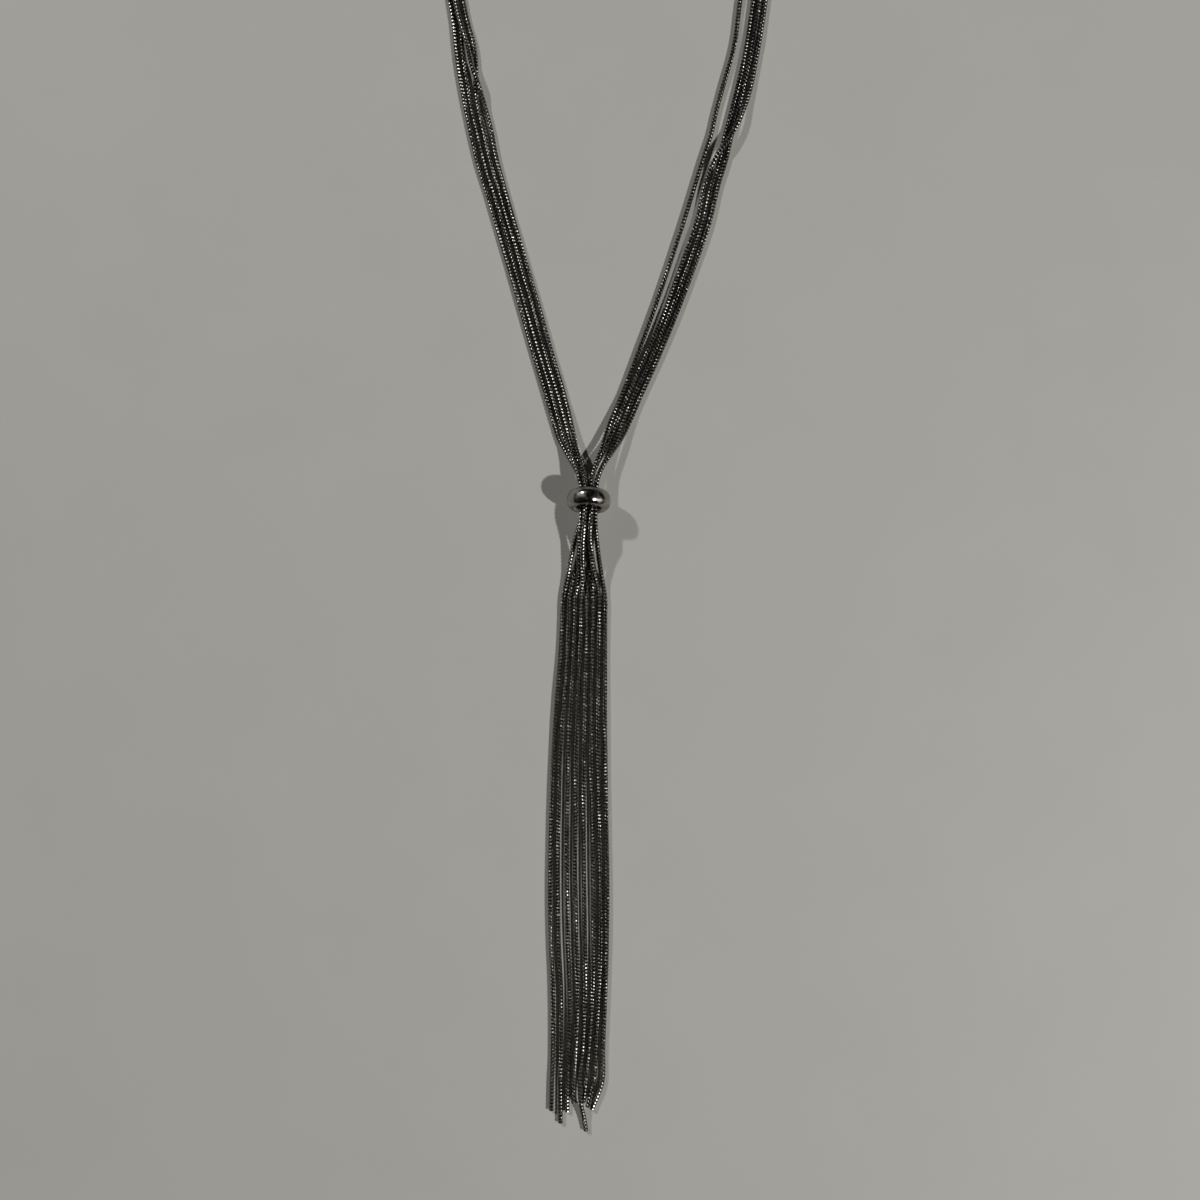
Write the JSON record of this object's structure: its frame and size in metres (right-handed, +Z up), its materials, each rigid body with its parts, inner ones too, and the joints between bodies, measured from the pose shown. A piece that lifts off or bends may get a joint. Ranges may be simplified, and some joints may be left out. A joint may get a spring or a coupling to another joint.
{
  "type": "lariat necklace",
  "caption": "Lariat necklace of round snake chains: the legs of its loop run through a polished ring bead and end as a tassel of free chain ends.",
  "frame": {"origin": "point of the surface under the middle of the ring bead", "axes": "+Y along the surface from the ring bead up the loop to the clasp, +X across it to the right with the tassel towards the viewer, +Z up from the surface that the necklace lies on"},
  "size_m": [0.0848, 0.3382, 0.0094],
  "materials": {
    "snake_chain": "bright plated snake chain, dark silver",
    "polished_metal": "mirror polished, dark silver"
  },
  "bodies": {
    "root": {"ring_bead": "polished_metal", "barrel_clasp": "polished_metal", "chain_left_1": "snake_chain", "chain_left_2": "snake_chain", "chain_left_3": "snake_chain", "chain_left_4": "snake_chain", "chain_right_1": "snake_chain", "chain_right_2": "snake_chain", "chain_right_3": "snake_chain", "chain_right_4": "snake_chain"}
  },
  "joints": []
}
